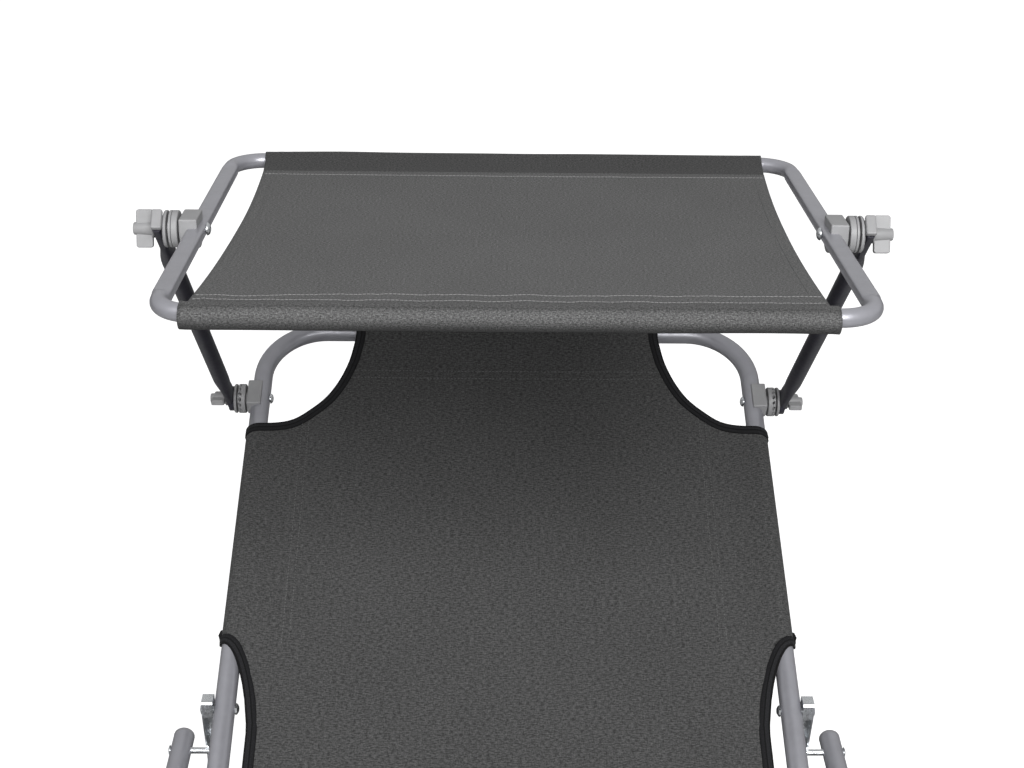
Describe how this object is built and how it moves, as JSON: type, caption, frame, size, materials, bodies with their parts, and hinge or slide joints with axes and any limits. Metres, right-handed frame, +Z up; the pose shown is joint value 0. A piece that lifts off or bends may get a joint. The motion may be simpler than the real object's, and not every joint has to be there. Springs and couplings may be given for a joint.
{
  "type": "sun lounger with canopy",
  "caption": "Folding sun lounger of round tube with sleeved sling cloth, an adjustable backrest on notched struts and a tilting sun canopy on arms with toothed ratchet joints.",
  "frame": {"origin": "on the ground at the middle of the lounger's overall footprint", "axes": "+X to the right seen from the foot end, +Y towards the head end, +Z up"},
  "size_m": [0.5866, 1.858, 0.7513],
  "materials": {
    "frame_paint": "satin silver-grey paint on round steel tube",
    "arm_paint": "satin near-black paint on steel tube",
    "zinc": "bright zinc plating on steel",
    "joint_plastic": "light grey moulded plastic with a soft sheen",
    "cap_plastic": "grey moulded plastic",
    "sling_cloth": "woven dark grey sling cloth",
    "canopy_cloth": "woven grey canopy cloth"
  },
  "bodies": {
    "seat_frame": {"seat_cloth": "sling_cloth", "seat_rail_left": "frame_paint", "seat_rail_right": "frame_paint", "rail_cap_head_left": "cap_plastic", "rail_cap_head_right": "cap_plastic", "rail_cap_foot_left": "cap_plastic", "rail_cap_foot_right": "cap_plastic", "head_hinge_bolt_left": "zinc", "head_hinge_bolt_right": "zinc", "head_hinge_spacer_left": "joint_plastic", "head_hinge_spacer_right": "joint_plastic", "foot_hinge_bolt_left": "zinc", "foot_hinge_bolt_right": "zinc", "foot_hinge_spacer_left": "joint_plastic", "foot_hinge_spacer_right": "joint_plastic", "catch_stud_left": "zinc", "catch_stud_right": "zinc", "rear_leg_bracket_left": "frame_paint", "rear_leg_bracket_right": "frame_paint", "front_leg_bracket_left": "frame_paint", "front_leg_bracket_right": "frame_paint"},
    "backrest": {"backrest_tube": "frame_paint", "backrest_cloth": "sling_cloth", "strut_rivet_left": "zinc", "strut_rivet_right": "zinc", "lower_ratchet_saddle_left": "joint_plastic", "lower_ratchet_saddle_right": "joint_plastic", "lower_ratchet_bolt_left": "zinc", "lower_ratchet_bolt_right": "zinc"},
    "strut_left": {"support_strut_left": "zinc"},
    "strut_right": {"support_strut_right": "zinc"},
    "canopy_arms": {"canopy_arm_left": "arm_paint", "canopy_arm_right": "arm_paint", "lower_ratchet_ring_left": "joint_plastic", "lower_ratchet_ring_right": "joint_plastic", "upper_ratchet_ring_left": "joint_plastic", "upper_ratchet_ring_right": "joint_plastic"},
    "canopy": {"canopy_tube": "frame_paint", "canopy_cloth": "canopy_cloth", "upper_ratchet_saddle_left": "joint_plastic", "upper_ratchet_saddle_right": "joint_plastic", "upper_ratchet_bolt_left": "zinc", "upper_ratchet_bolt_right": "zinc"},
    "lower_knob_left": {"lower_wing_knob_left": "joint_plastic"},
    "lower_knob_right": {"lower_wing_knob_right": "joint_plastic"},
    "upper_knob_left": {"upper_wing_knob_left": "joint_plastic"},
    "upper_knob_right": {"upper_wing_knob_right": "joint_plastic"},
    "rear_leg": {"rear_leg_tube": "frame_paint", "rear_leg_foot_left": "cap_plastic", "rear_leg_foot_right": "cap_plastic"},
    "front_leg": {"front_leg_tube": "frame_paint", "front_leg_foot_left": "cap_plastic", "front_leg_foot_right": "cap_plastic"},
    "foot_section": {"foot_section_tube": "frame_paint", "foot_cloth": "sling_cloth", "foot_leg_bracket_left": "frame_paint", "foot_leg_bracket_right": "frame_paint"},
    "foot_leg": {"foot_leg_tube": "frame_paint", "foot_leg_foot_left": "cap_plastic", "foot_leg_foot_right": "cap_plastic"}
  },
  "joints": [
    {"name": "backrest_hinge", "type": "hinge", "parent": "seat_frame", "child": "backrest", "pos_m": [0, 0.40174, 0.261], "axis": [1, 0, 0], "range_deg": [-20.5, 80]},
    {"name": "strut_pivot_left", "type": "hinge", "parent": "backrest", "child": "strut_left", "pos_m": [0, 0.51695, 0.30408], "axis": [1, 0, 0], "range_deg": [-26, 6.5]},
    {"name": "strut_pivot_right", "type": "hinge", "parent": "backrest", "child": "strut_right", "pos_m": [0, 0.51695, 0.30408], "axis": [1, 0, 0], "range_deg": [-26, 6.5]},
    {"name": "canopy_arm_hinge", "type": "hinge", "parent": "backrest", "child": "canopy_arms", "pos_m": [0, 0.83654, 0.42357], "axis": [-1, 0, 0], "range_deg": [-30, 110]},
    {"name": "canopy_tilt_hinge", "type": "hinge", "parent": "canopy_arms", "child": "canopy", "pos_m": [0, 0.5839, 0.71936], "axis": [1, 0, 0], "range_deg": [-60, 75]},
    {"name": "lower_knob_turn_left", "type": "hinge", "parent": "canopy_arms", "child": "lower_knob_left", "pos_m": [-0.2742, 0.83654, 0.42357], "axis": [-1, 0, 0], "range_deg": [0, 360]},
    {"name": "lower_knob_turn_right", "type": "hinge", "parent": "canopy_arms", "child": "lower_knob_right", "pos_m": [0.2742, 0.83654, 0.42357], "axis": [1, 0, 0], "range_deg": [0, 360]},
    {"name": "upper_knob_turn_left", "type": "hinge", "parent": "canopy_arms", "child": "upper_knob_left", "pos_m": [-0.2742, 0.5839, 0.71936], "axis": [-1, 0, 0], "range_deg": [0, 360]},
    {"name": "upper_knob_turn_right", "type": "hinge", "parent": "canopy_arms", "child": "upper_knob_right", "pos_m": [0.2742, 0.5839, 0.71936], "axis": [1, 0, 0], "range_deg": [0, 360]},
    {"name": "rear_leg_hinge", "type": "hinge", "parent": "seat_frame", "child": "rear_leg", "pos_m": [0, 0.45173, 0.237], "axis": [1, 0, 0], "range_deg": [-115, 0]},
    {"name": "front_leg_hinge", "type": "hinge", "parent": "seat_frame", "child": "front_leg", "pos_m": [0, -0.14827, 0.237], "axis": [1, 0, 0], "range_deg": [0, 110]},
    {"name": "foot_section_hinge", "type": "hinge", "parent": "seat_frame", "child": "foot_section", "pos_m": [0, -0.19826, 0.261], "axis": [1, 0, 0], "range_deg": [-165, 0]},
    {"name": "foot_leg_hinge", "type": "hinge", "parent": "foot_section", "child": "foot_leg", "pos_m": [0, -0.83827, 0.237], "axis": [-1, 0, 0], "range_deg": [-94, 0]}
  ],
  "couplings": [
    {"joint": "strut_pivot_left", "follows": "backrest_hinge", "ratio": -0.285},
    {"joint": "strut_pivot_right", "follows": "backrest_hinge", "ratio": -0.285}
  ]
}
